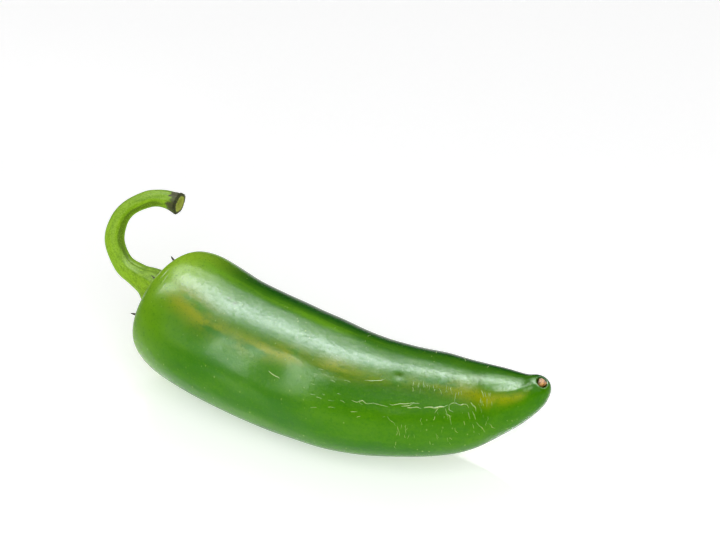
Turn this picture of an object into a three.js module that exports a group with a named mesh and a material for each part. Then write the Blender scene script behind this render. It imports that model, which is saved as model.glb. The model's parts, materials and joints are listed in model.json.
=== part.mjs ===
// A green chilli pepper of the jalapeno kind, as picked, lying on its belly.
// Millimetres, +Z up. +X runs from the crown, where the stem is, to the tip.
// Everything is placed from the spot that the pod rests on; the last lines move the origin to the
// middle of the whole pepper's footprint.

import * as THREE from 'three';

const UP = new THREE.Vector3(0, 0, 1);
const GAP = 0.3;

// Pod: its middle line from the crown to the tip. The middle is 12.5 above the table, the line bows
// sideways by about 9, and the tip turns up.
const POD_LINE = [
  [-31.8, 7.4, 15.3],
  [-16.2, 2.6, 13.7],
  [1.8, -0.2, 12.5],
  [17.2, -1.6, 12.6],
  [32.8, 0.5, 13.7],
  [42.0, 3.8, 15.1],
  [49.3, 4.6, 18.9],
  [51.7, 4.5, 23.1],
];

// Pod: distance along the middle line, and radius there. The first five points are the recess in the
// crown and its rim, and the last four are the pit in the tip. The line itself runs on a little.
const POD_MERIDIAN = [
  [2.2, 0],
  [2.0, 3.5],
  [1.2, 6.6],
  [0.3, 9.4],
  [0.9, 11.8],
  [3.2, 13.3],
  [8.0, 14.1],
  [18.0, 13.9],
  [31.2, 13.7],
  [44.9, 12.9],
  [57.5, 11.4],
  [68.3, 9.9],
  [77.6, 6.7],
  [83.2, 4.35],
  [85.9, 3.2],
  [87.3, 2.45],
  [88.0, 1.75],
  [88.15, 1.2],
  [87.8, 0.95],
  [87.3, 0.85],
  [87.2, 0],
];

// Pod: three shallow grooves run its whole length and part it into three lobes. Angles are in
// degrees round the pod, from the side that bulges out (0) over the top (90).
const GROOVE_ANGLES = [50, 165, 270];
const GROOVE_DEPTHS = [0.03, 0.03, 0.035];
const GROOVE_WIDTH = 34;
const POD_RINGS_PER_STATION = 3;
const POD_SIDES = 52;

// Calyx: a ragged cap in the crown's recess. Each tooth has its angle round the crown and the height
// of its dry tip above the cap's rim.
const CALYX_TEETH = [
  [0, 2.5],
  [66, 2.0],
  [114, 2.9],
  [180, 2.2],
  [240, 2.6],
  [300, 2.0],
];
const TOOTH_HALF_WIDTH = 10;
const CALYX_SIDES = 60;

// Calyx: the stations of the pod's meridian that its underside follows, and then its edge and top:
// radius and height between the teeth, and the share of a tooth's height that each gains at its tip.
const CALYX_UNDERSIDE = [0.5, 1, 1.5, 2, 2.2];
const CALYX_TOP = [
  { radius: 7.6, height: -0.2, lean: 0.2, share: 0.5 },
  { radius: 7.5, height: 0.3, lean: 0.35, share: 1 },
  { radius: 6.75, height: 0.5, lean: 0, share: 0.25 },
  { radius: 5.75, height: 1.15, lean: 0, share: 0 },
  { radius: 5.6, height: 0.8, lean: 0, share: 0 },
];
const SEAT_HEIGHT = 0.8;

// Stem: its route from the crown, as distances across the crown, up it and out of it, with the
// stem's radius at each point. It flares into a foot, curls over, and ends in a swollen cut.
const STEM_ROUTE = [
  [0, 0.2, 1.1, 5.3],
  [0, 1.0, 5.4, 3.6],
  [0.4, 1.4, 8.8, 2.55],
  [0.7, 2.4, 13.0, 2.15],
  [-0.6, 5.5, 17.0, 2.1],
  [-3.3, 8.7, 18.4, 1.85],
  [-5.9, 11.2, 17.8, 1.75],
  [-8.7, 13.2, 15.5, 1.75],
  [-10.2, 13.9, 13.5, 1.75],
  [-11.3, 14.1, 11.1, 2.0],
  [-11.9, 14.1, 8.8, 2.4],
];
const CURL_FACING = new THREE.Vector3(0.3, -0.73, 0.62);
const STEM_RINGS_PER_STATION = 4;
const STEM_SIDES = 20;
const STEM_RIBS = 5;
const RIB_HEIGHT = 0.05;
const RIB_ANGLE = 4;
const CUT_ROUNDING = 0.35;

// Style stub: the corky remnant of the flower's style in the tip's pit, as height above the bottom
// of the pit and radius.
const STUB_PROFILE = [
  [GAP, 0.35],
  [0.6, 0.55],
  [1.0, 0.62],
  [1.3, 0.5],
];
const STUB_TOP = 1.45;
const STUB_SIDES = 14;

// Skin and flesh colours.
function finish(name, color, roughness) {
  return new THREE.MeshStandardMaterial({ name, color, roughness, metalness: 0 });
}

const skin = finish('pod_skin', 0x3f8518, 0.22);
const calyxGreen = finish('calyx_green', 0x4a7f2a, 0.6);
const stemGreen = finish('stem_green', 0x93b93a, 0.5);
const cork = finish('style_cork', 0xb48a4a, 0.85);

// Smooth curve through the given points, one equal step of the parameter for each stretch.
function curveThrough(points) {
  const vectors = points.map((p) => new THREE.Vector3(p[0], p[1], p[2]));
  return new THREE.CatmullRomCurve3(vectors, false, 'catmullrom', 0.5);
}

// Two directions square to the line: across it and square to the reference, and the third one.
function crossAxes(along, reference) {
  const side = along.clone().cross(reference).normalize();
  const rise = side.clone().cross(along);
  return { side, rise };
}

// Point at an angle and radius round a centre, in the plane of two directions.
function around(centre, side, rise, radius, angle) {
  const turn = THREE.MathUtils.degToRad(angle);
  return centre.clone()
    .addScaledVector(side, radius * Math.cos(turn))
    .addScaledVector(rise, radius * Math.sin(turn));
}

// Angle between two directions given in degrees, from -180 to 180.
function angleBetween(a, b) {
  return THREE.MathUtils.euclideanModulo(a - b + 180, 360) - 180;
}

// Closed body over a stack of rings of points, with a point that closes each end. The faces point
// outwards whichever way the rings run.
function bodyFromRings(startPoint, rings, endPoint) {
  const sides = rings[0].length;
  const last = rings.length - 1;
  const points = [startPoint, ...rings.flat(), endPoint];
  const at = (ring, step) => 1 + ring * sides + (step % sides);
  const faces = [];
  for (let step = 0; step < sides; step += 1) {
    faces.push([0, at(0, step), at(0, step + 1)]);
    for (let ring = 0; ring < last; ring += 1) {
      faces.push([at(ring, step), at(ring + 1, step), at(ring + 1, step + 1)]);
      faces.push([at(ring, step), at(ring + 1, step + 1), at(ring, step + 1)]);
    }
    faces.push([points.length - 1, at(last, step + 1), at(last, step)]);
  }
  const share = ([a, b, c]) => points[a].dot(points[b].clone().cross(points[c]));
  const volume = faces.reduce((sum, face) => sum + share(face), 0);
  const outward = volume > 0 ? faces : faces.map(([a, b, c]) => [a, c, b]);
  const geometry = new THREE.BufferGeometry();
  geometry.setAttribute('position', new THREE.Float32BufferAttribute(points.flatMap((p) => p.toArray()), 3));
  geometry.setIndex(outward.flat());
  geometry.computeVertexNormals();
  return geometry;
}

// Angles of a ring's points, in degrees.
function ringAngles(sides) {
  return Array.from({ length: sides }, (_, step) => (step * 360) / sides);
}

const podLine = curveThrough(POD_LINE);
const podLength = podLine.getLength();
const podMeridian = curveThrough(POD_MERIDIAN.map(([distance, radius]) => [radius, 0, distance]));

// Share of the full radius that the three grooves leave at an angle.
function lobeShare(angle) {
  const cut = GROOVE_ANGLES.reduce((sum, groove, index) => {
    const offset = angleBetween(angle, groove) / GROOVE_WIDTH;
    return sum + GROOVE_DEPTHS[index] * Math.exp(-offset * offset);
  }, 0);
  return 1 - cut;
}

// Point of the pod's skin at a station of its meridian. What would lie below the table is the flat
// spot of the belly.
function podPoint(station, angle) {
  const outline = podMeridian.getPoint(station / (POD_MERIDIAN.length - 1));
  const along = outline.z / podLength;
  const centre = podLine.getPointAt(along);
  const { side, rise } = crossAxes(podLine.getTangentAt(along), UP);
  const point = around(centre, side, rise, outline.x * lobeShare(angle), angle);
  point.z = Math.max(point.z, 0);
  return point;
}

function makePod() {
  const stations = POD_MERIDIAN.length - 1;
  const rings = [];
  for (let step = 1; step < stations * POD_RINGS_PER_STATION; step += 1) {
    rings.push(ringAngles(POD_SIDES).map((angle) => podPoint(step / POD_RINGS_PER_STATION, angle)));
  }
  return new THREE.Mesh(bodyFromRings(podPoint(0, 0), rings, podPoint(stations, 0)), skin);
}

// The crown's own directions: out of the pod along its middle line, across, and up.
const crownCentre = podLine.getPointAt(0);
const crownInward = podLine.getTangentAt(0);
const crownOut = crownInward.clone().negate();
const crown = crossAxes(crownInward, UP);

function crownPoint(radius, angle, height) {
  return around(crownCentre, crown.side, crown.rise, radius, angle).addScaledVector(crownOut, height);
}

// How far the calyx rises above its rim at an angle: 0 between the teeth, a tooth's height at its tip.
function toothRise(angle) {
  return CALYX_TEETH.reduce((highest, [tooth, height]) => {
    const share = 1 - Math.abs(angleBetween(angle, tooth)) / TOOTH_HALF_WIDTH;
    return Math.max(highest, height * Math.max(share, 0));
  }, 0);
}

// The calyx lies on the recess with a small gap under it. It rises at its rim into the teeth, and
// ends in a collar and a flat seat that the stem's foot stands on.
function makeCalyx() {
  const angles = ringAngles(CALYX_SIDES);
  const bottom = podPoint(0, 0).addScaledVector(crownOut, GAP);
  const underside = CALYX_UNDERSIDE.map((station) => (
    angles.map((angle) => podPoint(station, angle).addScaledVector(crownOut, GAP))
  ));
  const top = CALYX_TOP.map(({ radius, height, lean, share }) => angles.map((angle) => {
    const rise = toothRise(angle);
    return crownPoint(radius + lean * rise, angle, height + share * rise);
  }));
  const seat = crownPoint(0, 0, SEAT_HEIGHT);
  return new THREE.Mesh(bodyFromRings(bottom, [...underside, ...top], seat), calyxGreen);
}

function makeStem() {
  const places = STEM_ROUTE.map(([across, rise, out]) => crownCentre.clone()
    .addScaledVector(crown.side, across)
    .addScaledVector(crown.rise, rise)
    .addScaledVector(crownOut, out));
  const route = curveThrough(places.map((place) => place.toArray()));
  const girth = curveThrough(STEM_ROUTE.map((point) => [point[3], 0, 0]));
  const steps = (STEM_ROUTE.length - 1) * STEM_RINGS_PER_STATION;
  const ringAt = (share, shrink) => {
    const tangent = share === 0 ? crownOut : route.getTangent(share);
    const { side, rise } = crossAxes(tangent, CURL_FACING);
    const radius = girth.getPoint(share).x - shrink;
    return ringAngles(STEM_SIDES).map((angle) => {
      const rib = RIB_HEIGHT * Math.cos(THREE.MathUtils.degToRad(STEM_RIBS * (angle - RIB_ANGLE)));
      return around(route.getPoint(share), side, rise, radius * (1 + rib), angle);
    });
  };
  const rings = [];
  for (let step = 0; step < steps; step += 1) {
    rings.push(ringAt(step / steps, 0));
  }
  const cutDirection = route.getTangent(1);
  rings.push(ringAt(1, 0).map((point) => point.addScaledVector(cutDirection, -CUT_ROUNDING)));
  rings.push(ringAt(1, CUT_ROUNDING));
  return new THREE.Mesh(bodyFromRings(places[0], rings, route.getPoint(1)), stemGreen);
}

function makeStyleStub() {
  const tip = podPoint(POD_MERIDIAN.length - 1, 0);
  const outward = podLine.getTangentAt(POD_MERIDIAN.at(-1)[0] / podLength);
  const { side, rise } = crossAxes(outward, UP);
  const rings = STUB_PROFILE.map(([height, radius]) => {
    const centre = tip.clone().addScaledVector(outward, height);
    return ringAngles(STUB_SIDES).map((angle) => around(centre, side, rise, radius, angle));
  });
  const bottom = tip.clone().addScaledVector(outward, GAP);
  const top = tip.clone().addScaledVector(outward, STUB_TOP);
  return new THREE.Mesh(bodyFromRings(bottom, rings, top), cork);
}

const pepper = new THREE.Group();
const pieces = { pod: makePod(), calyx: makeCalyx(), stem: makeStem(), style_stub: makeStyleStub() };
for (const [name, mesh] of Object.entries(pieces)) {
  mesh.name = name;
  pepper.add(mesh);
}

// The origin moves to the middle of the footprint, at the height of the table.
const box = new THREE.Box3().setFromObject(pepper);
const middle = box.getCenter(new THREE.Vector3());
pepper.position.set(-middle.x, -middle.y, -box.min.z);
pepper.updateMatrixWorld(true);

export default pepper;
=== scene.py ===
import json
import math

import bpy
import numpy as np
from mathutils import Matrix, Vector


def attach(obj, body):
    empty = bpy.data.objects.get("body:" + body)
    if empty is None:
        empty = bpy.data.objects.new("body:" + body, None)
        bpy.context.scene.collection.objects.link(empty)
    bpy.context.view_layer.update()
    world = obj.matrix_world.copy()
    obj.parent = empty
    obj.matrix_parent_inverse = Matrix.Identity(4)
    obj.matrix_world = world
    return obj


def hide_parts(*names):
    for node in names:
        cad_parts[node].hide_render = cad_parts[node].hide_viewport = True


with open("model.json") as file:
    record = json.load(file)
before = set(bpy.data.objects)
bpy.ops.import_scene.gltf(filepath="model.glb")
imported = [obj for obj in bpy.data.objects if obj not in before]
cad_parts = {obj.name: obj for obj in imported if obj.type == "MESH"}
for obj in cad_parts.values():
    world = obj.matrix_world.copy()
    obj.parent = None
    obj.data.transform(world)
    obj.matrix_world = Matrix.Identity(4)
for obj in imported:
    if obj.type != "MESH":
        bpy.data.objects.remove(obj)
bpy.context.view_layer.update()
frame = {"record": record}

# Pod: the fruit, grown in one piece, with a thick wall and a waxy skin. It bows sideways, lies on the
# flat of its belly, and three shallow grooves part it into lobes. Its crown is a recess that holds the
# calyx, and its tip ends in a small pit with the scar of the flower.
MM = 0.001
REST_SPOT = np.array(frame["record"]["mounts"][0]["pos_m"])

# The middle line from crown to tip, and the outline about it: the distance along the line and the
# radius, from the middle of the crown's recess to the middle of the tip's pit.
POD_LINE = MM * np.array([
    (-31.8, 7.4, 15.3), (-16.2, 2.6, 13.7), (1.8, -0.2, 12.5), (17.2, -1.6, 12.6),
    (32.8, 0.5, 13.7), (42.0, 3.8, 15.1), (49.3, 4.6, 18.9), (51.7, 4.5, 23.1),
])
POD_MERIDIAN = MM * np.array([
    (2.2, 0), (2.0, 3.5), (1.2, 6.6), (0.3, 9.4), (0.9, 11.8), (3.2, 13.3), (8.0, 14.1),
    (18.0, 13.9), (31.2, 13.7), (44.9, 12.9), (57.5, 11.4), (68.3, 9.9), (77.6, 6.7), (83.2, 4.35),
    (85.9, 3.2), (87.3, 2.45), (88.0, 1.75), (88.15, 1.2), (87.8, 0.95), (87.3, 0.85), (87.2, 0),
])

# Grooves: the angle round the pod and the depth as a share of the radius. All angles are in degrees,
# from the side that bulges out (0) over the top (90).
GROOVES = [(50, 0.03), (165, 0.03), (270, 0.035)]
GROOVE_WIDTH = 34
LINE_SOFTNESS = 2.2 * MM
MERIDIAN_SOFTNESS = 0.35 * MM
SKIN_STEP = 0.37 * MM
TIP_STEP = 0.13 * MM
TIP_REACH = 6 * MM
POD_SIDES = 252

# Low swellings and hollows of the skin: distance along the pod, angle round it, half length, half
# width in degrees, and height in millimetres. They fade in between two radii of the pod.
SWELLINGS = [
    (11, 46, 4, 12, -0.10), (20.5, 38, 4.5, 12, 0.28), (28, 38, 4.5, 13, 0.13),
    (37.5, 40, 3.6, 13, -0.25), (50, 50, 7, 8, 0.10), (60, 66, 6, 9, -0.10), (70, 52, 5, 9, 0.10),
    (9, 86, 5, 9, 0.10), (46, 92, 9, 8, -0.08), (28, 95, 8, 10, 0.09), (58, 33, 2.2, 5, -0.16),
    (58.2, 67, 0.9, 4, -0.10),
]
SWELLING_FADE = (3 * MM, 9 * MM)
TIP_CALM = (70 * MM, 82 * MM)

# The ridge below the tip's scar, which leaves a flat facet above it. Its height is a share of the
# pod's radius.
TIP_RIDGE = [(81.4, 44.5, 4.4, 13, 0.068)]
RIDGE_FADE = (2.5 * MM, 4 * MM)

# Faint waves of the whole skin.
WAVE_COUNT = 14
WAVE_HEIGHT = 0.055 * MM
WAVE_LENGTHS = (8 * MM, 20 * MM)


def smooth_path(points, shares):
    """Points of the smooth curve through the given ones. Between two neighbours it is the cubic that
    passes through both, with slopes of half the step between each one's own neighbours; the end
    points are mirrored to give the first and last slope."""
    ends = (2 * points[0] - points[1], 2 * points[-1] - points[-2])
    padded = np.vstack([ends[0], points, ends[1]])
    place = np.clip(shares, 0, 1) * (len(points) - 1)
    first = np.minimum(place.astype(int), len(points) - 2)
    t = (place - first)[..., None]
    a, b, c, d = (padded[first + step] for step in range(4))
    bend = (2 * a - 5 * b + 4 * c - d) * t**2 + (3 * b - a - 3 * c + d) * t**3
    return 0.5 * (2 * b + (c - a) * t + bend)


def run_along(points):
    """Distance from the first point to each point of a fine line, added up step by step."""
    steps = np.linalg.norm(np.diff(points, axis=0), axis=1)
    return np.concatenate([[0], np.cumsum(steps)])


def unit(vectors):
    """The vectors shortened or stretched to length 1."""
    return vectors / np.linalg.norm(vectors, axis=-1, keepdims=True)


def interpolated(places, known, values):
    """The rows of values at the given places along the known ones, straight between them."""
    columns = [np.interp(places, known, values[:, axis]) for axis in range(values.shape[1])]
    return np.stack(columns, axis=-1)


def angle_between(a, b):
    """Difference of two angles in degrees, from -180 to 180."""
    return (a - b + 180) % 360 - 180


def bell(offset):
    """Soft hump of height 1: e to the power of minus the offset squared."""
    return np.exp(-offset * offset)


def ramp(value, start, end):
    """0 up to the start, 1 from the end on, and straight between them. The end may be the lower."""
    return np.clip((value - start) / (end - start), 0, 1)


def softened(points, reach):
    """The line at even steps, each point the mean of its neighbours weighted by a bell whose half
    width is the reach. The line is mirrored past its ends, so the end points stay."""
    run = run_along(points)
    even = interpolated(np.linspace(0, run[-1], len(points)), run, points)
    step = run[-1] / (len(points) - 1)
    spread = math.ceil(3 * reach / step)
    weights = bell(np.arange(-spread, spread + 1) * step / reach)
    before = 2 * even[0] - even[spread:0:-1]
    after = 2 * even[-1] - even[-2:-spread - 2:-1]
    padded = np.concatenate([before, even, after])
    weights = weights / weights.sum()
    return np.stack([np.convolve(column, weights, mode="valid") for column in padded.T], axis=-1)


fine_line = softened(smooth_path(POD_LINE, np.linspace(0, 1, 2001)), LINE_SOFTNESS)
fine_run = run_along(fine_line)
fine_tangent = unit(np.gradient(fine_line, fine_run, axis=0))
wave_draw = np.random.default_rng(7)
wave_directions = unit(wave_draw.normal(size=(WAVE_COUNT, 3)))
wave_lengths = wave_draw.uniform(*WAVE_LENGTHS, WAVE_COUNT)
wave_phases = wave_draw.uniform(0, 2 * math.pi, WAVE_COUNT)


def lobe_share(angle):
    """Share of the full radius at an angle: 1 less a bell of each groove's depth."""
    sunk = (depth * bell(angle_between(angle, groove) / GROOVE_WIDTH) for groove, depth in GROOVES)
    return 1 - sum(sunk)


def unbent(distance, radius, angle):
    """Where a point round a bowed middle line would lie if the line were straight, along x."""
    turn = np.radians(angle)
    return np.stack([distance, radius * np.cos(turn), radius * np.sin(turn)], axis=-1)


def swollen(swellings, distance, angle):
    """Sum of the swellings, each its height times a bell along the pod and a bell round it."""
    return sum(
        height * bell((distance / MM - along) / reach) * bell(angle_between(angle, side) / width)
        for along, side, reach, width, height in swellings
    )


def skin_relief(distance, radius, angle):
    """How far the skin stands out from the even shape: the swellings and a sum of plane waves, which
    fade out towards the ends of the pod, and the ridge by the tip."""
    relief = MM * swollen(SWELLINGS, distance, angle)
    straight = unbent(distance, radius, angle)
    swing = (straight @ wave_directions.T) * (2 * math.pi / wave_lengths) + wave_phases
    relief = relief + WAVE_HEIGHT * np.sin(swing).sum(axis=-1) / math.sqrt(WAVE_COUNT)
    relief = relief * ramp(distance, TIP_CALM[1], TIP_CALM[0]) * ramp(radius, *SWELLING_FADE)
    return relief + radius * swollen(TIP_RIDGE, distance, angle) * ramp(radius, *RIDGE_FADE)


def skin_point(distance, radius, angle, relief=0):
    """Points of the pod's skin. The centre is on the bowed middle line at the distance, and the point
    is the radius away from it, less the grooves, turned by the angle from the side that bulges out
    (0) over the top (90). What would lie below the table is pressed flat."""
    centre = interpolated(distance, fine_run, fine_line)
    along = unit(interpolated(distance, fine_run, fine_tangent))
    side = unit(np.cross(along, (0, 0, 1)))
    rise = np.cross(side, along)
    turn = np.radians(angle)[..., None]
    reach = (radius * lobe_share(angle) + relief)[..., None]
    point = centre + reach * (np.cos(turn) * side + np.sin(turn) * rise)
    point[..., 2] = np.maximum(point[..., 2], 0)
    return point + REST_SPOT


def piece_from_rings(name, rings, start, end):
    """A closed mesh over a stack of rings of points, shape (rings, sides, 3), with one more point
    that closes each end. Rings run forwards and points counter-clockwise as seen from the start, so
    the faces point outwards."""
    count, sides = rings.shape[:2]
    points = np.vstack([start, rings.reshape(-1, 3), end])
    index = 1 + np.arange(count * sides).reshape(count, sides)
    after = np.roll(index, -1, axis=1)
    quads = np.stack([index[:-1], index[1:], after[1:], after[:-1]], axis=-1).reshape(-1, 4)
    opening = np.stack([np.zeros(sides, int), index[0], after[0]], axis=-1)
    closing = np.stack([np.full(sides, len(points) - 1), after[-1], index[-1]], axis=-1)
    mesh = bpy.data.meshes.new(name)
    mesh.from_pydata(points.tolist(), [], quads.tolist() + opening.tolist() + closing.tolist())
    mesh.shade_smooth()
    piece = bpy.data.objects.new(name, mesh)
    bpy.context.scene.collection.objects.link(piece)
    return piece


def paint_mask(piece, name, rings, start, end):
    """Keeps one number for each point of the piece, in the order of piece_from_rings."""
    values = np.concatenate([[start], rings.ravel(), [end]])
    layer = piece.data.attributes.new(name, "FLOAT", "POINT")
    layer.data.foreach_set("value", values.astype(np.float32))


def paint_place(piece, name, rings, start, end):
    """Keeps one vector for each point of the piece, in the order of piece_from_rings."""
    values = np.vstack([start, rings.reshape(-1, 3), end])
    layer = piece.data.attributes.new(name, "FLOAT_VECTOR", "POINT")
    layer.data.foreach_set("vector", values.astype(np.float32).ravel())


class Shade:
    """One output in a material. Arithmetic on shades adds Math nodes, and node() any other node."""

    def __init__(self, tree, socket=None):
        self.tree = tree
        self.socket = socket

    def node(self, kind, settings=None, sockets=None, output=0):
        """Adds a node of the kind. Its settings are set first, then the values or links of its
        sockets, and the result is the named or numbered output."""
        added = self.tree.nodes.new("ShaderNode" + kind)
        for name, value in (settings or {}).items():
            setattr(added, name, value)
        for name, value in (sockets or {}).items():
            if isinstance(value, Shade):
                self.tree.links.new(value.socket, added.inputs[name])
            else:
                added.inputs[name].default_value = value
        return Shade(self.tree, added.outputs[output])

    def maths(self, operation, *values):
        """The Math node of that operation on the values, numbered from 0."""
        return self.node("Math", {"operation": operation}, dict(enumerate(values)))

    def __add__(self, other):
        return self.maths("ADD", self, other)

    def __sub__(self, other):
        return self.maths("SUBTRACT", self, other)

    def __rsub__(self, other):
        return self.maths("SUBTRACT", other, self)

    def __mul__(self, other):
        return self.maths("MULTIPLY", self, other)

    __radd__ = __add__
    __rmul__ = __mul__

    def between(self, low, high):
        """0 below low, 1 above high, and a smooth step from one to the other."""
        sockets = {"Value": self, "From Min": low, "From Max": high}
        return self.node("MapRange", {"interpolation_type": "SMOOTHSTEP"}, sockets)

    def mask(self, name):
        """A number that the piece keeps for each of its points."""
        return self.node("Attribute", {"attribute_name": name}, output="Fac")

    def place(self, name):
        """A vector that the piece keeps for each of its points."""
        return self.node("Attribute", {"attribute_name": name}, output="Vector")

    def stretched(self, x, y, z):
        """The vector with its three parts multiplied."""
        return self.node("VectorMath", {"operation": "MULTIPLY"}, {0: self, 1: (x, y, z)})

    def noise(self, size, detail=2, roughness=0.5, seed=0):
        """Cloudy noise from 0 to 1 at this place, with spots of the size in metres."""
        grain = {"Scale": 1 / size, "Detail": detail, "Roughness": roughness}
        return self.node("TexNoise", {"noise_dimensions": "4D"}, {"Vector": self, "W": seed, **grain})

    def cells(self, size):
        """Distance to the nearest of scattered centres, about the size apart, as a share of it."""
        sockets = {"Vector": self, "Scale": 1 / size}
        return self.node("TexVoronoi", {"voronoi_dimensions": "4D"}, sockets, "Distance")

    def towards(self, colour, share):
        """This colour mixed with another one by the share."""
        settings = {"data_type": "RGBA", "clamp_factor": True}
        return self.node("Mix", settings, {0: share, 6: self, 7: colour}, output=2)


def linear(red, green, blue):
    """The colour that a screen shows for the three values of 0 to 255, as light."""
    values = np.array((red, green, blue)) / 255
    light = np.where(values < 0.04045, values / 12.92, ((values + 0.055) / 1.055) ** 2.4)
    return (*light.tolist(), 1)


def new_finish(name):
    """A material with one plain surface shader, and a Shade to build its tree from."""
    finish = bpy.data.materials.new(name)
    finish.use_nodes = True
    return finish, finish.node_tree.nodes["Principled BSDF"], Shade(finish.node_tree)


def plain_colour(shade, colour):
    """A colour as a shade, to mix others into."""
    return shade.node("Mix", {"data_type": "RGBA"}, {0: 0, 6: colour, 7: colour}, output=2)


def connect(finish, shader, **sockets):
    """Links shades to the shader's sockets; a socket's name has its spaces as underscores."""
    for name, shade in sockets.items():
        finish.node_tree.links.new(shade.socket, shader.inputs[name.replace("_", " ")])


def dress(piece, finish, node):
    """Gives the piece its finish, hangs it on the root body, and hides the CAD part that it stands for.
    """
    piece.data.materials.append(finish)
    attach(piece, "root")
    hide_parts(node)


meridian = softened(smooth_path(POD_MERIDIAN, np.linspace(0, 1, 3601)), MERIDIAN_SOFTNESS)
meridian_run = run_along(meridian)
body_steps = round((meridian_run[-1] - TIP_REACH) / SKIN_STEP)
tip_steps = round(TIP_REACH / TIP_STEP)
ring_places = np.concatenate([
    np.linspace(0, meridian_run[-1] - TIP_REACH, body_steps, endpoint=False),
    np.linspace(meridian_run[-1] - TIP_REACH, meridian_run[-1], tip_steps + 1),
])[1:-1]
pod_rings = interpolated(ring_places, meridian_run, meridian)
pod_angles = np.linspace(0, 360, POD_SIDES, endpoint=False)
pod_distance, pod_angle = np.meshgrid(pod_rings[:, 0], pod_angles, indexing="ij")
pod_radius = np.repeat(pod_rings[:, 1:2], POD_SIDES, axis=1)
pod_relief = skin_relief(pod_distance, pod_radius, pod_angle)
pod_ends = skin_point(meridian[[0, -1], 0], meridian[[0, -1], 1], np.zeros(2))
pod = piece_from_rings(
    "pod_skin", skin_point(pod_distance, pod_radius, pod_angle, pod_relief), pod_ends[0], pod_ends[1]
)
pod_straight = unbent(pod_distance, pod_radius, pod_angle)
paint_place(pod, "unbent", pod_straight, (meridian[0, 0], 0, 0), (meridian[-1, 0], 0, 0))

# What the skin's colours follow, in millimetres along the pod and degrees round it. Olive patches lie
# along the groove on the bulging side: distance, angle and strength, and then distance and half width.
# The grooves of the back have a fainter, even one.
OLIVE_TRAIL = np.array([
    (4, 62, 0.3), (10, 59, 1.0), (17, 54, 1.0), (22, 52, 0.5), (27, 51, 0.7), (32, 53, 0.9),
    (37, 56, 0.9), (41, 59, 0.3), (46, 60, 0.9), (50, 60, 0.6), (57, 61, 0.25), (63, 62, 0.4),
    (68, 60, 0.7), (73, 52, 0.9), (77, 40, 1.0), (84, 30, 0.8),
])
OLIVE_WIDTHS = np.array([(14, 11), (22, 8), (62, 8), (74, 13)])
OLIVE_ENDS = ((3, 9), (88, 84))
BACK_OLIVE_ANGLES = (162, 272)
BACK_OLIVE_WIDTH = 8
BACK_OLIVE_STRENGTH = 0.6

# A lime line along the top; painted shade, which darkens the far side to a deeper green; and the pale
# shoulder, which painted light makes palest on top. A thin painted highlight lies on the rim where the
# shoulder turns into the crown.
LIME_ANGLE = 99.5
LIME_WIDTH = 5
LIME_ENDS = ((4, 10), (64, 46))
PAINTED_SHADE_SIDES = ((103, 112), (250, 220))
PAINTED_SHADE_START = (6, 20)
PALE_MIDDLE = 1
PALE_REACH = 9.5
PAINTED_LIGHT_TOP = 100
PAINTED_LIGHT_SPREAD = 45
PALE_ALL_ROUND = 0.25
RIM_GLINT_PLACE = (0.75, 72)
RIM_GLINT_SIZE = (0.35, 18)
RIM_GLINT_LEAST_RADIUS = 10 * MM
SMALL_PITS = [(18.5, 80.5), (19.9, 78), (20.3, 79), (58.3, 68.5)]
PIT_SIZE = (0.35, 1.6)
SCAR_EDGE = (1.35 * MM, 1.0 * MM)
TIP_START = 80

pod_mm = pod_distance / MM


def between_ends(value, ends):
    """1 between the two ends, with a straight fade at each one."""
    return ramp(value, *ends[0]) * ramp(value, *ends[1])


def spot(distance, angle, reach, width):
    """1 at a place on the skin, less by one bell along the pod and by another round it."""
    return bell(angle_between(pod_angle, angle) / width) * bell((pod_mm - distance) / reach)


trail_angle = np.interp(pod_mm, OLIVE_TRAIL[:, 0], OLIVE_TRAIL[:, 1])
trail_strength = np.interp(pod_mm, OLIVE_TRAIL[:, 0], OLIVE_TRAIL[:, 2])
trail_width = np.interp(pod_mm, OLIVE_WIDTHS[:, 0], OLIVE_WIDTHS[:, 1])
olive = trail_strength * bell(angle_between(pod_angle, trail_angle) / trail_width)
for back_angle in BACK_OLIVE_ANGLES:
    back_olive = bell(angle_between(pod_angle, back_angle) / BACK_OLIVE_WIDTH)
    olive = olive + BACK_OLIVE_STRENGTH * back_olive
paint_mask(pod, "olive", olive * between_ends(pod_mm, OLIVE_ENDS), 0, 0)
lime = bell(angle_between(pod_angle, LIME_ANGLE) / LIME_WIDTH) * between_ends(pod_mm, LIME_ENDS)
paint_mask(pod, "lime", lime, 0, 0)
# Painted shade: the far side of the pod is darkened to a deeper green.
paint_mask(pod, "deep", between_ends(pod_angle, PAINTED_SHADE_SIDES) * ramp(pod_mm, *PAINTED_SHADE_START), 0, 0)
# The pale shoulder is the skin's own colour all round, and painted light makes it palest on top.
painted_light_round = bell(angle_between(pod_angle, PAINTED_LIGHT_TOP) / PAINTED_LIGHT_SPREAD)
shoulder_and_light_share = PALE_ALL_ROUND + (1 - PALE_ALL_ROUND) * painted_light_round
paint_mask(pod, "pale", bell((pod_mm - PALE_MIDDLE) / PALE_REACH) * shoulder_and_light_share, 0.3, 0)
# A painted highlight: a thin pale line on the rim where the shoulder turns into the crown.
painted_rim_glint = spot(*RIM_GLINT_PLACE, *RIM_GLINT_SIZE) * (pod_radius > RIM_GLINT_LEAST_RADIUS)
paint_mask(pod, "painted_rim_glint", painted_rim_glint, 0, 0)
pits = sum(spot(*place, *PIT_SIZE) for place in SMALL_PITS)
paint_mask(pod, "pits", np.clip(pits, 0, 1), 0, 0)
# The skin inside the tip's pit, round the stub, is painted dark.
paint_mask(pod, "scar", ramp(pod_radius, *SCAR_EDGE) * (pod_mm > TIP_START), 0, 1)

DEEP_GREEN = linear(50, 118, 0)
LEAF_GREEN = linear(86, 146, 4)
# The pale green of the shoulder, which also carries the painted light on its top.
SHOULDER_AND_LIGHT_GREEN = linear(180, 230, 48)
OLIVE_BROWN = linear(152, 162, 0)
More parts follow.
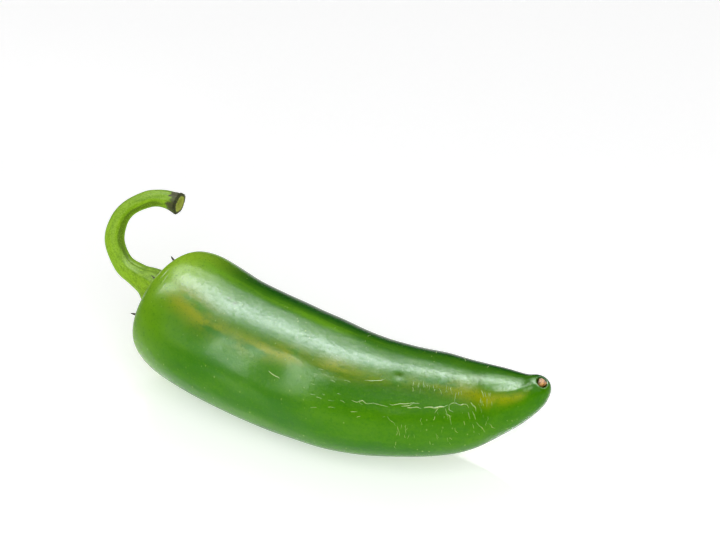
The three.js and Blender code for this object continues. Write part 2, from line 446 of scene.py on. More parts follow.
# The green of the painted shade on the far side.
PAINTED_SHADE_GREEN = linear(8, 88, 0)
LIME_GREEN = linear(118, 184, 4)
SPECK_GREEN = linear(150, 186, 84)
# The colour of the painted highlight on the crown's rim.
RIM_GLINT_PALE = linear(216, 230, 164)
PIT_DARK = linear(62, 70, 18)


def pod_finish():
    """Waxy skin. Deep green, clouded and faintly streaked along the pod with a lighter one, paler at the
    shoulder, with olive patches, small pale specks, a fine grain that blurs its gloss, and a brushed
    bloom of wax over it. Painted shade darkens the far side, painted light makes the shoulder palest
    on top, a painted highlight lies on the crown's rim, and the skin in the tip's pit is painted dark."""
    finish, shader, shade = new_finish("pod_skin_green")
    place = shade.place("unbent")
    clouds = place.stretched(0.5, 1, 1).noise(8 * MM, detail=3)
    streaks = place.stretched(0.12, 1, 1).noise(1.6 * MM, detail=3, seed=3)
    colour = plain_colour(shade, DEEP_GREEN)
    colour = colour.towards(LEAF_GREEN, clouds.between(0.3, 0.75) * 0.75 + (streaks - 0.5) * 0.5)
    # Painted shade on the far side.
    colour = colour.towards(PAINTED_SHADE_GREEN, shade.mask("deep") * 0.95)
    # Pale shoulder: its own paler colour, with painted light on top.
    colour = colour.towards(SHOULDER_AND_LIGHT_GREEN, shade.mask("pale") * 0.9)
    colour = colour.towards(LIME_GREEN, shade.mask("lime") * streaks.between(0.3, 0.6) * 0.7)
    patchy = place.stretched(0.4, 1, 1).noise(3.2 * MM, detail=3, seed=5)
    colour = colour.towards(OLIVE_BROWN, shade.mask("olive") * patchy.between(0.3, 0.5) * 0.95)
    mottle = place.noise(0.45 * MM, detail=2, roughness=0.7, seed=15)
    colour = colour.towards(LEAF_GREEN, mottle.between(0.5, 0.75) * 0.5)
    colour = colour.towards(DEEP_GREEN, mottle.between(0.5, 0.3) * 0.5)
    crowds = place.noise(7 * MM, detail=1, seed=7).between(0.38, 0.6)
    specks = 1 - place.stretched(1, 0.6, 0.6).cells(0.9 * MM).between(0.11, 0.22)
    colour = colour.towards(SPECK_GREEN, specks * crowds * 0.7)
    # Painted highlight on the crown's rim.
    colour = colour.towards(RIM_GLINT_PALE, shade.mask("painted_rim_glint") * 0.8)
    colour = colour.towards(PIT_DARK, shade.mask("pits") * 0.4)
    # The skin inside the tip's pit is painted dark.
    colour = colour.towards(PIT_DARK, shade.mask("scar"))
    grain = place.noise(0.4 * MM, detail=3, roughness=0.7, seed=9)
    wrinkles = place.stretched(1, 0.22, 0.22).noise(0.7 * MM, detail=3, seed=13)
    smear = place.stretched(0.4, 1, 1).noise(5 * MM, detail=3, seed=11)
    relief = grain + wrinkles * 1.5
    bump = shade.node("Bump", sockets={"Strength": 0.35, "Distance": 0.1 * MM, "Height": relief})
    brushed = place.stretched(0.45, 1, 1).noise(0.42 * MM, detail=3, roughness=0.7, seed=17)
    bloom = (brushed + smear * 0.5 - 0.75) * 0.7 + 0.13
    connect(
        finish, shader, Base_Color=colour, Roughness=smear * 0.16 + 0.15, Coat_Weight=bloom, Normal=bump
    )
    shader.inputs["Coat Roughness"].default_value = 0.24
    shader.inputs["Specular IOR Level"].default_value = 0.06
    return finish


dress(pod, pod_finish(), "pod")

# Calyx: the leathery green cap that held the flower. It lines the recess of the crown, its thin rim is
# ragged, and six dry brown teeth stand up from the rim. The stem grows out of its middle. Each tooth
# has an angle round the crown and a height in millimetres.
CALYX_TEETH = [(0, 2.5), (66, 2.0), (114, 2.9), (180, 2.2), (240, 2.6), (300, 2.0)]
TOOTH_HALF_WIDTH = 5
CALYX_SIDES = 360
CALYX_SINK = 0.1 * MM

# Underside: places along the points of the pod's outline. Top: radius and height between the teeth,
# and how far each point leans out and rises for each millimetre of a tooth's height.
CALYX_UNDERSIDE = np.array([(0.3,), (0.8,), (1.3,), (1.8,), (2.15,), (2.3,)])
CALYX_TOP = np.array([
    (7.75, -0.35, 0.15, 0.4), (7.8, 0.0, 0.35, 1.0), (7.6, 0.2, 0.3, 0.96), (7.2, 0.42, 0.05, 0.3),
    (6.9, 0.38, 0.0, 0.08), (6.65, 0.62, 0, 0), (6.35, 0.62, 0, 0), (6.1, 0.95, 0, 0),
    (5.8, 1.0, 0, 0), (5.5, 1.45, 0, 0), (5.1, 1.6, 0, 0), (4.8, 1.2, 0, 0), (3.0, 0.9, 0, 0),
])
CALYX_RINGS = 150
UNDERSIDE_RINGS = 50

# Waves that make the rim ragged, by number round it and phase, and the low folds inside it.
RAGGED_WAVES = [(5, 20), (9, 140), (14, 260), (23, 80), (37, 10)]
RAGGED_FADE = (6.5, 7.7)
RAGGED_HEIGHT = 0.13 * MM
RAGGED_REACH = 1.6 * RAGGED_HEIGHT
FOLD_COUNT = 5
FOLD_PHASE = 40
FOLD_FADE = (7.2, 5.2)
FOLD_REACH = 0.12 * MM
FOLD_HEIGHT = 0.10 * MM
RIM_RADIUS = 7.7
RIM_WIDTH = 0.35
DRY_LENGTH = 2.5 * MM

crown_inward = fine_tangent[0]
crown_side = unit(np.cross(crown_inward, (0, 0, 1)))
crown_rise = np.cross(crown_side, crown_inward)
crown_centre = fine_line[0] + REST_SPOT


def crown_point(across, rise, out):
    """Points given by their distances across the crown, up it, and out of it along the stem."""
    return (
        crown_centre + across[..., None] * crown_side + rise[..., None] * crown_rise
        - out[..., None] * crown_inward
    )


def tooth_rise(angle):
    """How far the calyx rises above its rim: each tooth is a spike with hollow flanks, 0 between the
    teeth and its own height at the tip."""
    rise = np.zeros_like(angle)
    for tooth, height in CALYX_TEETH:
        share = np.clip(1 - np.abs(angle_between(angle, tooth)) / TOOTH_HALF_WIDTH, 0, 1)
        rise = np.maximum(rise, height * MM * share**2)
    return rise


calyx_angle = np.linspace(0, 360, CALYX_SIDES, endpoint=False)
under_place = smooth_path(CALYX_UNDERSIDE, np.linspace(0, 1, UNDERSIDE_RINGS))[:, 0]
under_outline = smooth_path(POD_MERIDIAN, under_place / (len(POD_MERIDIAN) - 1))
under_distance, under_angle = np.meshgrid(under_outline[:, 0], calyx_angle, indexing="ij")
under_radius = np.repeat(under_outline[:, 1:], CALYX_SIDES, axis=1)
calyx_under = skin_point(under_distance, under_radius, under_angle) + CALYX_SINK * crown_inward
under_middle = skin_point(under_outline[0, :1], np.zeros(1), np.zeros(1))[0]

top_outline = smooth_path(CALYX_TOP, np.linspace(0, 1, CALYX_RINGS - UNDERSIDE_RINGS))
top_radius, top_height, top_lean, top_share = (top_outline[:, column, None] for column in range(4))
calyx_rise = tooth_rise(calyx_angle)
ragged = ramp(top_radius, *RAGGED_FADE) * sum(
    np.sin(np.radians(calyx_angle * turns + phase)) / math.sqrt(turns) for turns, phase in RAGGED_WAVES
)
fold = np.sin(np.radians(calyx_angle * FOLD_COUNT + FOLD_PHASE)) * ramp(top_radius, *FOLD_FADE)
calyx_reach = MM * top_radius + top_lean * calyx_rise + RAGGED_REACH * ragged + FOLD_REACH * fold
calyx_height = MM * top_height + top_share * calyx_rise + RAGGED_HEIGHT * ragged + FOLD_HEIGHT * fold
calyx_turn = np.radians(calyx_angle)
calyx_top = crown_point(calyx_reach * np.cos(calyx_turn), calyx_reach * np.sin(calyx_turn), calyx_height)
top_middle = crown_point(np.zeros(1), np.zeros(1), CALYX_TOP[-1:, 1] * MM)[0]
calyx = piece_from_rings(
    "calyx_cap",
    np.concatenate([calyx_under, calyx_top]),
    under_middle + CALYX_SINK * crown_inward,
    top_middle,
)


def paint_calyx_top(name, values):
    """Keeps one number for each point of the calyx: the values on its top, and 0 on its underside."""
    top_values = np.broadcast_to(values, calyx_height.shape)
    paint_mask(calyx, name, np.concatenate([np.zeros_like(under_distance), top_values]), 0, 0)


paint_calyx_top("rim", np.clip(1 - np.abs(top_radius - RIM_RADIUS) / RIM_WIDTH, 0, 1))
paint_calyx_top("dry", top_share * calyx_rise / DRY_LENGTH)
paint_calyx_top("ring", top_radius * MM)

CALYX_DARK = linear(42, 92, 34)
CALYX_LIGHT = linear(88, 136, 44)
RIM_PALE = linear(150, 178, 104)
TOOTH_BROWN = linear(56, 48, 26)


def calyx_finish():
    """Leathery skin in rings of dark and lighter green, with a pale rim and dry brown teeth."""
    finish, shader, shade = new_finish("calyx_leather")
    place = shade.node("TexCoord", output="Object")
    clouds = place.noise(1.4 * MM, detail=4, roughness=0.6)
    ring = shade.mask("ring")
    folds = shade.maths("SINE", ring * 9000 + clouds * 3)
    colour = plain_colour(shade, CALYX_DARK)
    inner = 1 - ring.between(4.8 * MM, 6.6 * MM)
    colour = colour.towards(CALYX_LIGHT, inner * 0.7 + clouds.between(0.35, 0.75) * 0.45)
    colour = colour.towards(RIM_PALE, shade.mask("rim") * clouds.between(0.3, 0.5) * 0.8)
    colour = colour.towards(TOOTH_BROWN, (shade.mask("dry") + clouds * 0.3 - 0.3).between(0.1, 0.55))
    wrinkles = folds * 0.3 + place.noise(0.35 * MM, detail=3, seed=4)
    bump = shade.node("Bump", sockets={"Strength": 0.5, "Distance": 0.12 * MM, "Height": wrinkles})
    connect(finish, shader, Base_Color=colour, Roughness=clouds * 0.25 + 0.38, Normal=bump)
    shader.inputs["Specular IOR Level"].default_value = 0.06
    return finish


dress(calyx, calyx_finish(), "calyx")

# Stem: the stalk, with five ribs. It grows out of the calyx on a flared foot, curls over and down, and
# ends where it was cut from the plant, swollen and dry. Its route is given by the distances across the
# crown, up it and out of it, and by the stalk's radius.
STEM_ROUTE = MM * np.array([
    (0, 0.2, 1.1, 5.3), (0, 1.0, 5.4, 3.6), (0.4, 1.4, 8.8, 2.55), (0.7, 2.4, 13.0, 2.15),
    (-0.6, 5.5, 17.0, 2.1), (-3.3, 8.7, 18.4, 1.85), (-5.9, 11.2, 17.8, 1.75), (-8.7, 13.2, 15.5, 1.75),
    (-10.2, 13.9, 13.5, 1.75), (-11.3, 14.1, 11.1, 2.0), (-11.9, 14.1, 8.8, 2.4),
])
CURL_FACING = unit(np.array((0.3, -0.73, 0.62)))
STEM_RINGS = 300
STEM_SIDES = 120

# Ribs and hollows, as shares of the radius: the five main ribs; the finer ones, by number, height, how
# they wander and phase; the groove on the inner side of the curl; the knuckles of the swollen end; and
# a ripple along the whole stalk.
STEM_RIBS = 5
RIB_HEIGHT = 0.032
RIB_ANGLE = 4
FINE_RIBS = [(13, 0.012, 2, 0), (21, 0.008, -3, 50)]
GROOVE_DEPTH = 0.10
GROOVE_FACING = 40
GROOVE_SPREAD = 24
GROOVE_STARTS = (7 * MM, 16 * MM)
GROOVE_ENDS = (2 * MM, 6 * MM)
KNUCKLE_HEIGHT = 0.05
KNUCKLE_COUNT = 7
KNUCKLE_REACH = 4 * MM
RIPPLE_HEIGHT = 0.022
RIPPLE_LENGTH = 1.7 * MM

# The cut: how far its edge rounds over, how deep its face is hollowed, and how high its fibres stand.
CUT_RINGS = 35
CUT_ROUNDING = 0.5 * MM
ROUNDED_SHARE = 0.2
CUT_HOLLOW = 0.35 * MM
FIBRE_HEIGHTS = (0.09 * MM, 0.07 * MM)

stem_share = np.linspace(0, 1, STEM_RINGS)
stem_route = smooth_path(STEM_ROUTE, stem_share)
stem_line = crown_point(stem_route[:, 0], stem_route[:, 1], stem_route[:, 2])
stem_run = run_along(stem_line)
stem_tangent = unit(np.gradient(stem_line, stem_run, axis=0))
stem_tangent[0] = -crown_inward
stem_side = unit(np.cross(stem_tangent, CURL_FACING))
stem_rise = np.cross(stem_side, stem_tangent)
stem_angle = np.linspace(0, 360, STEM_SIDES, endpoint=False)[None, :]
stem_turn = np.radians(stem_angle)
stem_length = stem_run[-1]
from_cut = (stem_length - stem_run)[:, None]
from_foot = stem_run[:, None]

rib = RIB_HEIGHT * np.cos(np.radians(STEM_RIBS * (stem_angle - RIB_ANGLE)))
drift = 14 * np.sin(from_foot / (6 * MM)) + 9 * np.sin(from_foot / (2.3 * MM) + 1)
for count, height, wander, phase in FINE_RIBS:
    rib = rib + height * np.cos(np.radians(count * stem_angle + wander * drift + phase))
groove_run = ramp(from_foot, *GROOVE_STARTS) * ramp(from_cut, *GROOVE_ENDS)
inner_groove = bell(angle_between(stem_angle, GROOVE_FACING) / GROOVE_SPREAD) * groove_run
rib = rib - GROOVE_DEPTH * inner_groove
knuckles = np.cos(np.radians(KNUCKLE_COUNT * stem_angle + 60)) * np.sin(from_cut / (0.9 * MM))
rib = rib + KNUCKLE_HEIGHT * bell(from_cut / KNUCKLE_REACH) * knuckles
rib = rib + RIPPLE_HEIGHT * np.sin(from_foot / RIPPLE_LENGTH + 2 * np.cos(2 * stem_turn))
stem_reach = stem_route[:, 3:] * (1 + rib)


def stem_ring(centre, side, rise, reach):
    """Points round the stem's line, each at its own reach, in the plane of the two directions."""
    swing = np.cos(stem_turn)[..., None] * side[:, None] + np.sin(stem_turn)[..., None] * rise[:, None]
    return centre[:, None] + reach[..., None] * swing


# The skin rounds over by a quarter turn into the face of the cut, which is a hollow with torn fibres.
cut_share = np.linspace(0, 1, CUT_RINGS + 2)[1:-1, None]
cut_over = ramp(cut_share, 0, ROUNDED_SHARE) * math.pi / 2
cut_inward = ramp(cut_share, ROUNDED_SHARE, 1)
cut_radius = (stem_reach[-1] - CUT_ROUNDING * (1 - np.cos(cut_over))) * (1 - cut_inward)
fibres = FIBRE_HEIGHTS[0] * np.sin(np.radians(stem_angle * 17 + 200 * cut_inward))
fibres = fibres + FIBRE_HEIGHTS[1] * np.sin(np.radians(stem_angle * 7 + 900 * cut_inward))
fibres = fibres * np.clip(cut_inward * 6, 0, 1) * np.clip((1 - cut_inward) * 3, 0, 1)
cut_rise = CUT_ROUNDING * (np.sin(cut_over) - 1) - CUT_HOLLOW * np.sin(cut_inward * math.pi / 2)
cut_rings = stem_ring(stem_line[-1:], stem_side[-1:], stem_rise[-1:], cut_radius)
cut_rings = cut_rings + (cut_rise + fibres)[..., None] * stem_tangent[-1]
body_line = stem_line.copy()
body_line[-1] = stem_line[-1] - CUT_ROUNDING * stem_tangent[-1]
body_rings = stem_ring(body_line, stem_side, stem_rise, stem_reach)
cut_middle = stem_line[-1] - CUT_HOLLOW * stem_tangent[-1]
stem = piece_from_rings("stem_stalk", np.concatenate([body_rings, cut_rings]), stem_line[0], cut_middle)

body_distance = np.broadcast_to(from_foot, stem_reach.shape)
stem_distance = np.concatenate([body_distance, np.full(cut_radius.shape, stem_length)])
stem_straight = unbent(stem_distance, np.concatenate([stem_reach, cut_radius]), stem_angle)
paint_place(stem, "unbent", stem_straight, (0, 0, 0), (stem_length, 0, 0))
# The mask of painted shade: the groove on the inner side of the curl and the hollows between the ribs.
hollow = np.clip(inner_groove - rib * 1.5, 0, 1)
paint_mask(stem, "hollow", np.concatenate([hollow, np.full(cut_radius.shape, 0.5)]), 0.5, 0.5)
cut_mask = np.clip(cut_inward * 9, 0, 1) * np.ones(cut_radius.shape)
paint_mask(stem, "cut", np.concatenate([np.zeros(stem_reach.shape), cut_mask]), 0, 1)

STEM_LIGHT = linear(150, 196, 34)
STEM_PALE = linear(168, 206, 70)
STEM_MID = linear(112, 158, 20)
# A darker green, for both the stalk's dark grain and the painted shade in its hollows.
STEM_GRAIN_AND_HOLLOW_SHADE = linear(80, 112, 14)
CUT_SKIN = linear(70, 60, 52)
CUT_FLESH = linear(172, 182, 78)
CUT_DARK = linear(56, 60, 20)


def stem_finish():
    """Green stalk, yellower on its ribs, with painted shade that darkens the groove on the inner side of
    the curl and the hollows between the ribs, and fine streaks along it. The end is dull and brown, and
    the cut shows pale flesh with dark fibres."""
    finish, shader, shade = new_finish("stem_green_ribbed")
    place = shade.place("unbent")
    along = shade.node("SeparateXYZ", sockets={"Vector": place}, output="X")
    streaks = place.stretched(0.1, 1, 1).noise(0.55 * MM, detail=4, roughness=0.6)
    clouds = place.noise(3 * MM, detail=3, seed=2)
    hollow_shade_mask = shade.mask("hollow")
    colour = plain_colour(shade, STEM_LIGHT)
    colour = colour.towards(STEM_MID, streaks.between(0.35, 0.7) * 0.8 + (clouds - 0.5) * 0.6)
    # Painted shade in the groove and between the ribs.
    colour = colour.towards(STEM_GRAIN_AND_HOLLOW_SHADE, (hollow_shade_mask + (streaks - 0.5) * 0.4).between(0.1, 0.8) * 0.7)
    grain = place.noise(0.3 * MM, detail=2, roughness=0.7, seed=8)
    colour = colour.towards(STEM_GRAIN_AND_HOLLOW_SHADE, grain.between(0.5, 0.7) * 0.45)
    colour = colour.towards(STEM_PALE, grain.between(0.5, 0.3) * 0.5)
    blotches = place.stretched(0.6, 1, 1).noise(1.6 * MM, detail=3, roughness=0.6, seed=12)
    torn = along + (blotches - 0.5) * 9 * MM
    near_cut = torn.between(stem_length - 3.2 * MM, stem_length - 1.6 * MM)
    colour = colour.towards(CUT_SKIN, near_cut * (0.6 + blotches * 0.5))
    cut = shade.mask("cut")
    colour = colour.towards(CUT_FLESH, cut)
    fibre_dots = 1 - place.cells(0.45 * MM).between(0.15, 0.4)
    colour = colour.towards(CUT_DARK, cut * fibre_dots * 0.8)
    wrinkles = streaks + place.noise(0.3 * MM, detail=2, seed=6) * 0.4
    bump = shade.node("Bump", sockets={"Strength": 0.45, "Distance": 0.15 * MM, "Height": wrinkles})
    roughness = clouds * 0.2 + near_cut * 0.2 + 0.36
    connect(finish, shader, Base_Color=colour, Roughness=roughness, Normal=bump)
    shader.inputs["Specular IOR Level"].default_value = 0.05
    return finish


dress(stem, stem_finish(), "stem")

# Style stub: the dry corky remnant of the flower's style, which stands in the pit at the pod's tip. Its
# outline is given by the height above the pit's floor and the radius.
STUB_PROFILE = MM * np.array([
    (-0.1, 0.55), (0.3, 0.66), (0.7, 0.76), (1.05, 0.76), (1.3, 0.58), (1.42, 0.34), (1.36, 0.1),
])
STUB_SIDES = 64
STUB_RINGS = 40
STUB_SINK = 0.1 * MM
STUB_TOP = 1.34 * MM

tip_outward = unit(interpolated(meridian[-1:, 0], fine_run, fine_tangent))[0]
tip_side = unit(np.cross(tip_outward, (0, 0, 1)))
tip_rise = np.cross(tip_side, tip_outward)
stub_outline = smooth_path(STUB_PROFILE, np.linspace(0, 1, STUB_RINGS))
stub_angle = np.radians(np.linspace(0, 360, STUB_SIDES, endpoint=False))[None, :]
stub_height = stub_outline[:, :1]
lumps = 1 + 0.10 * np.sin(3 * stub_angle + 1) + 0.06 * np.sin(7 * stub_angle + 3000 * stub_height)
stub_reach = stub_outline[:, 1:] * lumps
stub_bottom = pod_ends[1]
stub_rings = (
    stub_bottom
    + (stub_height * np.ones_like(stub_angle))[..., None] * tip_outward
    + (stub_reach * np.cos(stub_angle))[..., None] * tip_side
    + (stub_reach * np.sin(stub_angle))[..., None] * tip_rise
)
stub = piece_from_rings(
    "style_stub_cork",
    stub_rings,
    stub_bottom - STUB_SINK * tip_outward,
    stub_bottom + STUB_TOP * tip_outward,
)

CORK_TAN = linear(222, 164, 76)
CORK_BROWN = linear(132, 80, 28)


def cork_finish():
    """Dry cork: tan, with darker crumbs."""
    finish, shader, shade = new_finish("style_cork_dry")
    place = shade.node("TexCoord", output="Object")
    crumbs = place.noise(0.5 * MM, detail=3, roughness=0.7)
    colour = plain_colour(shade, CORK_TAN).towards(CORK_BROWN, crumbs.between(0.45, 0.6))
    bump = shade.node("Bump", sockets={"Strength": 0.8, "Distance": 0.25 * MM, "Height": crumbs})
    connect(finish, shader, Base_Color=colour, Roughness=crumbs * 0.2 + 0.7, Normal=bump)
    return finish


dress(stub, cork_finish(), "style_stub")

# Corking: fine raised threads where the skin cracked as it grew and healed pale. Each is given by the
# distance along the pod and the angle of its points, and by its half width at the middle. Crowds of
# short hairs lie across the pod and flecks along it.
CORKING = [
    (0.08, [(50.6, 34.5), (52.9, 34.5), (54.2, 34.5), (56.9, 33.5)]),
    (0.09, [(57.2, 36.5), (58.6, 37.5), (60.2, 39.5), (61.7, 41)]),
    (0.10, [(59.4, 35.5), (60.7, 36.5), (61.8, 39), (62.9, 40)]),
    (0.09, [(60.5, 34.5), (61.8, 34.5), (63.2, 34.5)]),
    (0.15, [(63.6, 36), (64.7, 37.5), (65.9, 37.5), (66.8, 39), (67.6, 40.5)]),
    (0.11, [(67.6, 39), (68, 41.5), (68.7, 42.5), (69.5, 40), (70.1, 41), (70.7, 40), (71, 35.5)]),
    (0.11, [(71.5, 42.5), (72, 40), (72.4, 36), (72.4, 29.5)]),
    (0.10, [(67.2, 36), (67.8, 29), (67.9, 23), (68, 17)]),
    (0.08, [(66.2, 37), (65.8, 34), (65.5, 30.5)]),
    (0.07, [(65.6, 27.5), (65.3, 22.5)]),
    (0.08, [(67.8, 39.5), (68, 35.5), (68.4, 32)]),
    (0.06, [(68.9, 55), (68.7, 48.5), (68.6, 43.5)]),
    (0.11, [(71.6, 31.5), (71.8, 25.5), (72.1, 19.5)]),
    (0.09, [(72.2, 15.5), (72.6, 8.5), (73.4, 1.5), (73.8, -6)]),
    (0.08, [(70.8, 30.5), (71, 26.5), (71, 21.5)]),
    (0.07, [(69.9, 20.5), (70, 15)]),
    (0.08, [(75.3, 5.5), (76, -2), (76.6, -12)]),
    (0.07, [(57.1, 24), (57.8, 19.5), (58.6, 14.5)]),
    (0.06, [(52.9, 56), (54.3, 58.5), (55.9, 61.5)]),
    (0.08, [(33.4, 36), (35.3, 33.5), (36.3, 33)]),
    (0.08, [(74.8, 58.5), (75.1, 52), (75.2, 46)]),
    (0.07, [(75.9, 55), (76, 50), (76.2, 45.5)]),
    (0.09, [(4.1, 60), (4.1, 65), (3.9, 69.5)]),
    (0.07, [(5.2, 57), (5.1, 62)]),
    (0.08, [(2.9, 63), (2.8, 70), (2.9, 76)]),
]

# Crowds: range of distances, range of angles, number, half length, half width, and whether the strokes
# run across the pod. The last one scatters them over the sides that the cracks above leave bare.
CROWDS = [
    ((61, 70), (53, 62), 20, (0.3, 0.7), (0.02, 0.045), True),
    ((73.5, 78), (30, 56), 12, (0.4, 1.0), (0.02, 0.04), True),
    ((58, 76), (-15, 32), 34, (0.2, 0.7), (0.03, 0.06), True),
    ((40, 58), (18, 58), 22, (0.2, 0.7), (0.03, 0.05), False),
    ((48, 82), (105, 335), 70, (0.4, 1.8), (0.04, 0.08), True),
]
STEPS_PER_POINT = 8
CORKING_SIDES = 8
CORKING_HEIGHT = 0.5
CORKING_WIDTH = 0.95
WIDTH_CHANGES = (0.6, 1.35)
LEAST_WIDTH = 0.004
KINK_SPACING = 0.9
KINK_OFFSET = 0.13
CROWN_RUN = 12 * MM
TIP_RUN = 4 * MM


def skin_radius(distance):
    """The pod's radius at a distance along it, on the body between crown and tip."""
    body = meridian[(meridian_run > CROWN_RUN) & (meridian_run < meridian_run[-1] - TIP_RUN)]
    return np.interp(distance, body[:, 0], body[:, 1])


def skin_surface(distance, angle):
    """Points of the finished skin, with its relief."""
    radius = skin_radius(distance)
    return skin_point(distance, radius, angle, skin_relief(distance, radius, angle))


def thread_rings(points, half_width, wander):
    """A raised thread on the skin: a flattened tube through the points, in millimetres along the pod
    and degrees round it. It kinks at even steps by random offsets, and its width is the square root
    of a parabola, thinned at random where the crack nearly closed."""
    share = np.linspace(0, 1, STEPS_PER_POINT * len(points))
    route = smooth_path(np.array(points, float), share)
    around = np.radians(route[:, 1]) * skin_radius(MM * route[:, 0]) / MM
    length = np.hypot(np.diff(route[:, 0]), np.diff(around)).sum()
    kinks = max(2, round(length / KINK_SPACING)) + 1
    places = np.linspace(0, 1, kinks)
    offsets = wander.normal(scale=KINK_OFFSET, size=(2, kinks)) * (np.sin(places * math.pi) > 0.01)
    distance = MM * (route[:, 0] + np.interp(share, places, offsets[0]))
    angle = route[:, 1] + np.degrees(MM * np.interp(share, places, offsets[1]) / skin_radius(distance))
    centre = skin_surface(distance, angle)
    forward = unit(np.gradient(centre, axis=0))
    along = skin_surface(distance + 0.05 * MM, angle) - centre
    round_it = skin_surface(distance, angle + 0.2) - centre
    normal = unit(np.cross(along, round_it))
    across = unit(np.cross(normal, forward))
    taper = np.sqrt(np.clip(4 * share * (1 - share), LEAST_WIDTH, 1))
    width = CORKING_WIDTH * MM * half_width * taper
    width = width * np.interp(share, places, wander.uniform(*WIDTH_CHANGES, kinks))
    turn = np.linspace(0, 2 * math.pi, CORKING_SIDES, endpoint=False)
    side = (width[:, None] * np.cos(turn))[..., None] * across[:, None]
    lift = (width[:, None] * np.sin(turn) * CORKING_HEIGHT)[..., None] * normal[:, None]
    return centre[:, None] + side + lift, centre


corking_draw = np.random.default_rng(11)
threads = list(CORKING)
for distances, angles, count, half_lengths, half_widths, across_pod in CROWDS:
    for _ in range(count):
        distance = corking_draw.uniform(*distances)
        angle = corking_draw.uniform(*angles)
        reach = corking_draw.uniform(*half_lengths)
        lean = corking_draw.normal(scale=0.25) * reach
        along_pod, round_pod = (lean, reach) if across_pod else (reach, lean)
        round_degrees = math.degrees(round_pod * MM / skin_radius(MM * distance))
        first_end = (distance - along_pod, angle - round_degrees)
        last_end = (distance + along_pod, angle + round_degrees)
        threads.append((corking_draw.uniform(*half_widths), [first_end, last_end]))
parts = []
for width, points in threads:
    rings, centre = thread_rings(points, width, corking_draw)
    parts.append(piece_from_rings("corking_thread", rings, centre[0], centre[-1]))
with bpy.context.temp_override(
    active_object=parts[0], selected_editable_objects=parts, selected_objects=parts, object=parts[0]
):
    bpy.ops.object.join()
corking = parts[0]
corking.name = "corking_threads"

CORK_THREAD = linear(162, 188, 84)
CORK_THREAD_GREEN = linear(106, 156, 42)


def corking_finish():
    """Healed skin: pale straw green, greener where it is thin."""
    finish, shader, shade = new_finish("corking_pale")
    place = shade.node("TexCoord", output="Object")
    change = place.noise(1.2 * MM, detail=3)
    colour = plain_colour(shade, CORK_THREAD).towards(CORK_THREAD_GREEN, change.between(0.35, 0.65))
    connect(finish, shader, Base_Color=colour, Roughness=change * 0.2 + 0.5)
    return finish


corking.data.materials.append(corking_finish())
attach(corking, "root")

# Camera: the viewpoint of the photograph, which looks down on the bulging side of the pod.
VIEW_TURN = math.radians(22.5)
VIEW_PITCH = math.radians(38)
CAMERA_PLACE = REST_SPOT + (0.13109, -0.28083, 0.27999)
LENS = 100
SENSOR = 36

camera_data = bpy.data.cameras.new("camera")
camera_data.lens = LENS
camera_data.sensor_width = SENSOR
camera_data.clip_start = 0.01
camera = bpy.data.objects.new("camera", camera_data)
turned = Matrix.Rotation(VIEW_TURN, 4, "Z") @ Matrix.Rotation(math.pi / 2 - VIEW_PITCH, 4, "X")
camera.matrix_world = Matrix.Translation(CAMERA_PLACE) @ turned
bpy.context.scene.collection.objects.link(camera)
bpy.context.scene.camera = camera

# Floor and light: a plain white floor in soft studio light.
FLOOR_SIZE = 4
FLOOR_WHITE = linear(240, 240, 240)
FLOOR_GLOW = 0.45
AIM = Vector((0, 0, 0.014))

floor_mesh = bpy.data.meshes.new("floor")
half = FLOOR_SIZE / 2
corners = [(-half, -half, 0), (half, -half, 0), (half, half, 0), (-half, half, 0)]
floor_mesh.from_pydata(corners, [], [(0, 1, 2, 3)])
floor = bpy.data.objects.new("floor", floor_mesh)
bpy.context.scene.collection.objects.link(floor)
floor_finish, floor_shader = new_finish("floor_white")[:2]
floor_shader.inputs["Base Color"].default_value = FLOOR_WHITE
floor_shader.inputs["Roughness"].default_value = 0.15
floor_shader.inputs["Specular IOR Level"].default_value = 0.4
floor_shader.inputs["Emission Color"].default_value = (1, 1, 1, 1)
floor_shader.inputs["Emission Strength"].default_value = FLOOR_GLOW
floor.data.materials.append(floor_finish)


def soft_light(name, right, back, up, width, depth, power, tint=(1, 1, 1), gloss_only=False, level=False):
    """A rectangular softbox. Its middle is given as the camera sees it, by the distances to the right
    of the object, behind it and above it. It lies level, or else it faces the object."""
    turned = Matrix.Rotation(VIEW_TURN, 4, "Z")
    place = Vector((right, back, up))
    facing = Matrix() if level else place.to_track_quat("Z", "Y").to_matrix().to_4x4()
    data = bpy.data.lights.new(name, "AREA")
    data.shape = "RECTANGLE"
    data.size = width
    data.size_y = depth
    data.energy = power
    data.color = tint
    light = bpy.data.objects.new(name, data)
    light.matrix_world = Matrix.Translation(AIM) @ turned @ Matrix.Translation(place) @ facing
    light.visible_diffuse = not gloss_only
    bpy.context.scene.collection.objects.link(light)
    return light


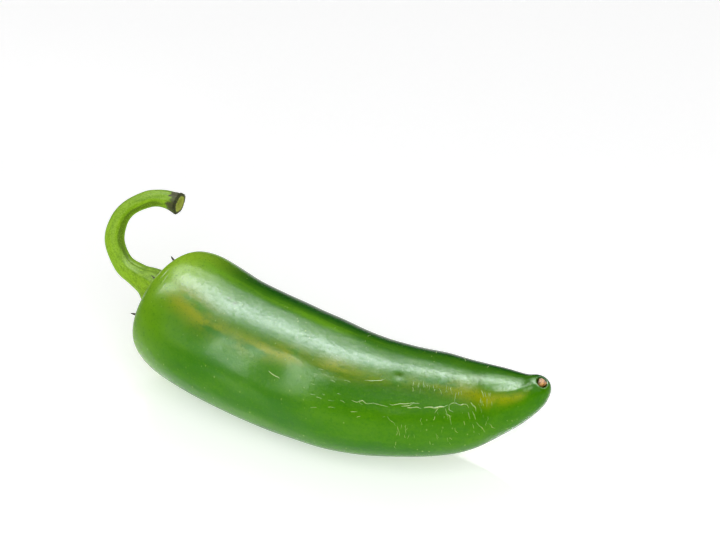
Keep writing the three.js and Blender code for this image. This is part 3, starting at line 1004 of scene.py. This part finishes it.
WINDOW_BLUE = (0.86, 0.78, 1.0)
soft_light("front_softbox", 0.05, -0.58, 0.69, 1.0, 0.8, 5)
soft_light("window_core", 0.05, 0.2, 0.7, 0.82, 0.23, 33.5, tint=WINDOW_BLUE, gloss_only=True, level=True)
soft_light("window_haze", 0.13, 0.27, 0.7, 0.86, 0.62, 20, gloss_only=True, level=True)
soft_light("window_back", -0.2, 0.5, 0.7, 0.66, 0.5, 14, gloss_only=True, level=True)
soft_light("window_corner", -0.4, 0.88, 0.7, 0.5, 0.4, 4, gloss_only=True, level=True)
soft_light("shoulder_gloss", -0.42, 0.09, 0.417, 0.1, 0.24, 3, gloss_only=True)
soft_light("side_veil", -0.208, -0.146, 0.159, 0.035, 0.3, 1.15, gloss_only=True)
soft_light("tip_gloss", 0.56, 0.3, 0.6, 0.2, 0.22, 5, gloss_only=True)

# A dark card behind the object, which only the gloss sees, keeps the upper edge of the skin deep.
CARD_PLACE = 0.09
CARD_SIZE = (0.36, 0.08)
CARD_GREEN = linear(34, 80, 10)

card_mesh = bpy.data.meshes.new("dark_card")
card_half, card_top = CARD_SIZE[0] / 2, CARD_SIZE[1]
card_corners = np.array([
    (-card_half, CARD_PLACE, 0), (card_half, CARD_PLACE, 0),
    (card_half, CARD_PLACE, card_top), (-card_half, CARD_PLACE, card_top),
])
card_turn = np.array(Matrix.Rotation(VIEW_TURN, 3, "Z"))
card_mesh.from_pydata((card_corners @ card_turn.T).tolist(), [], [(0, 1, 2, 3)])
card = bpy.data.objects.new("dark_card", card_mesh)
bpy.context.scene.collection.objects.link(card)
card_finish, card_shader = new_finish("card_black")[:2]
card_shader.inputs["Base Color"].default_value = CARD_GREEN
card_shader.inputs["Roughness"].default_value = 0.9
card.data.materials.append(card_finish)
card.visible_camera = False
card.visible_diffuse = False
card.visible_shadow = False
card.visible_transmission = False

WORLD_LIGHT = 0.36
world = bpy.data.worlds.new("studio")
bpy.context.scene.world = world
world.use_nodes = True
world.node_tree.nodes["Background"].inputs["Color"].default_value = (1, 1, 1, 1)
world.node_tree.nodes["Background"].inputs["Strength"].default_value = WORLD_LIGHT
world.cycles_visibility.glossy = False
bpy.context.scene.view_settings.view_transform = "Standard"
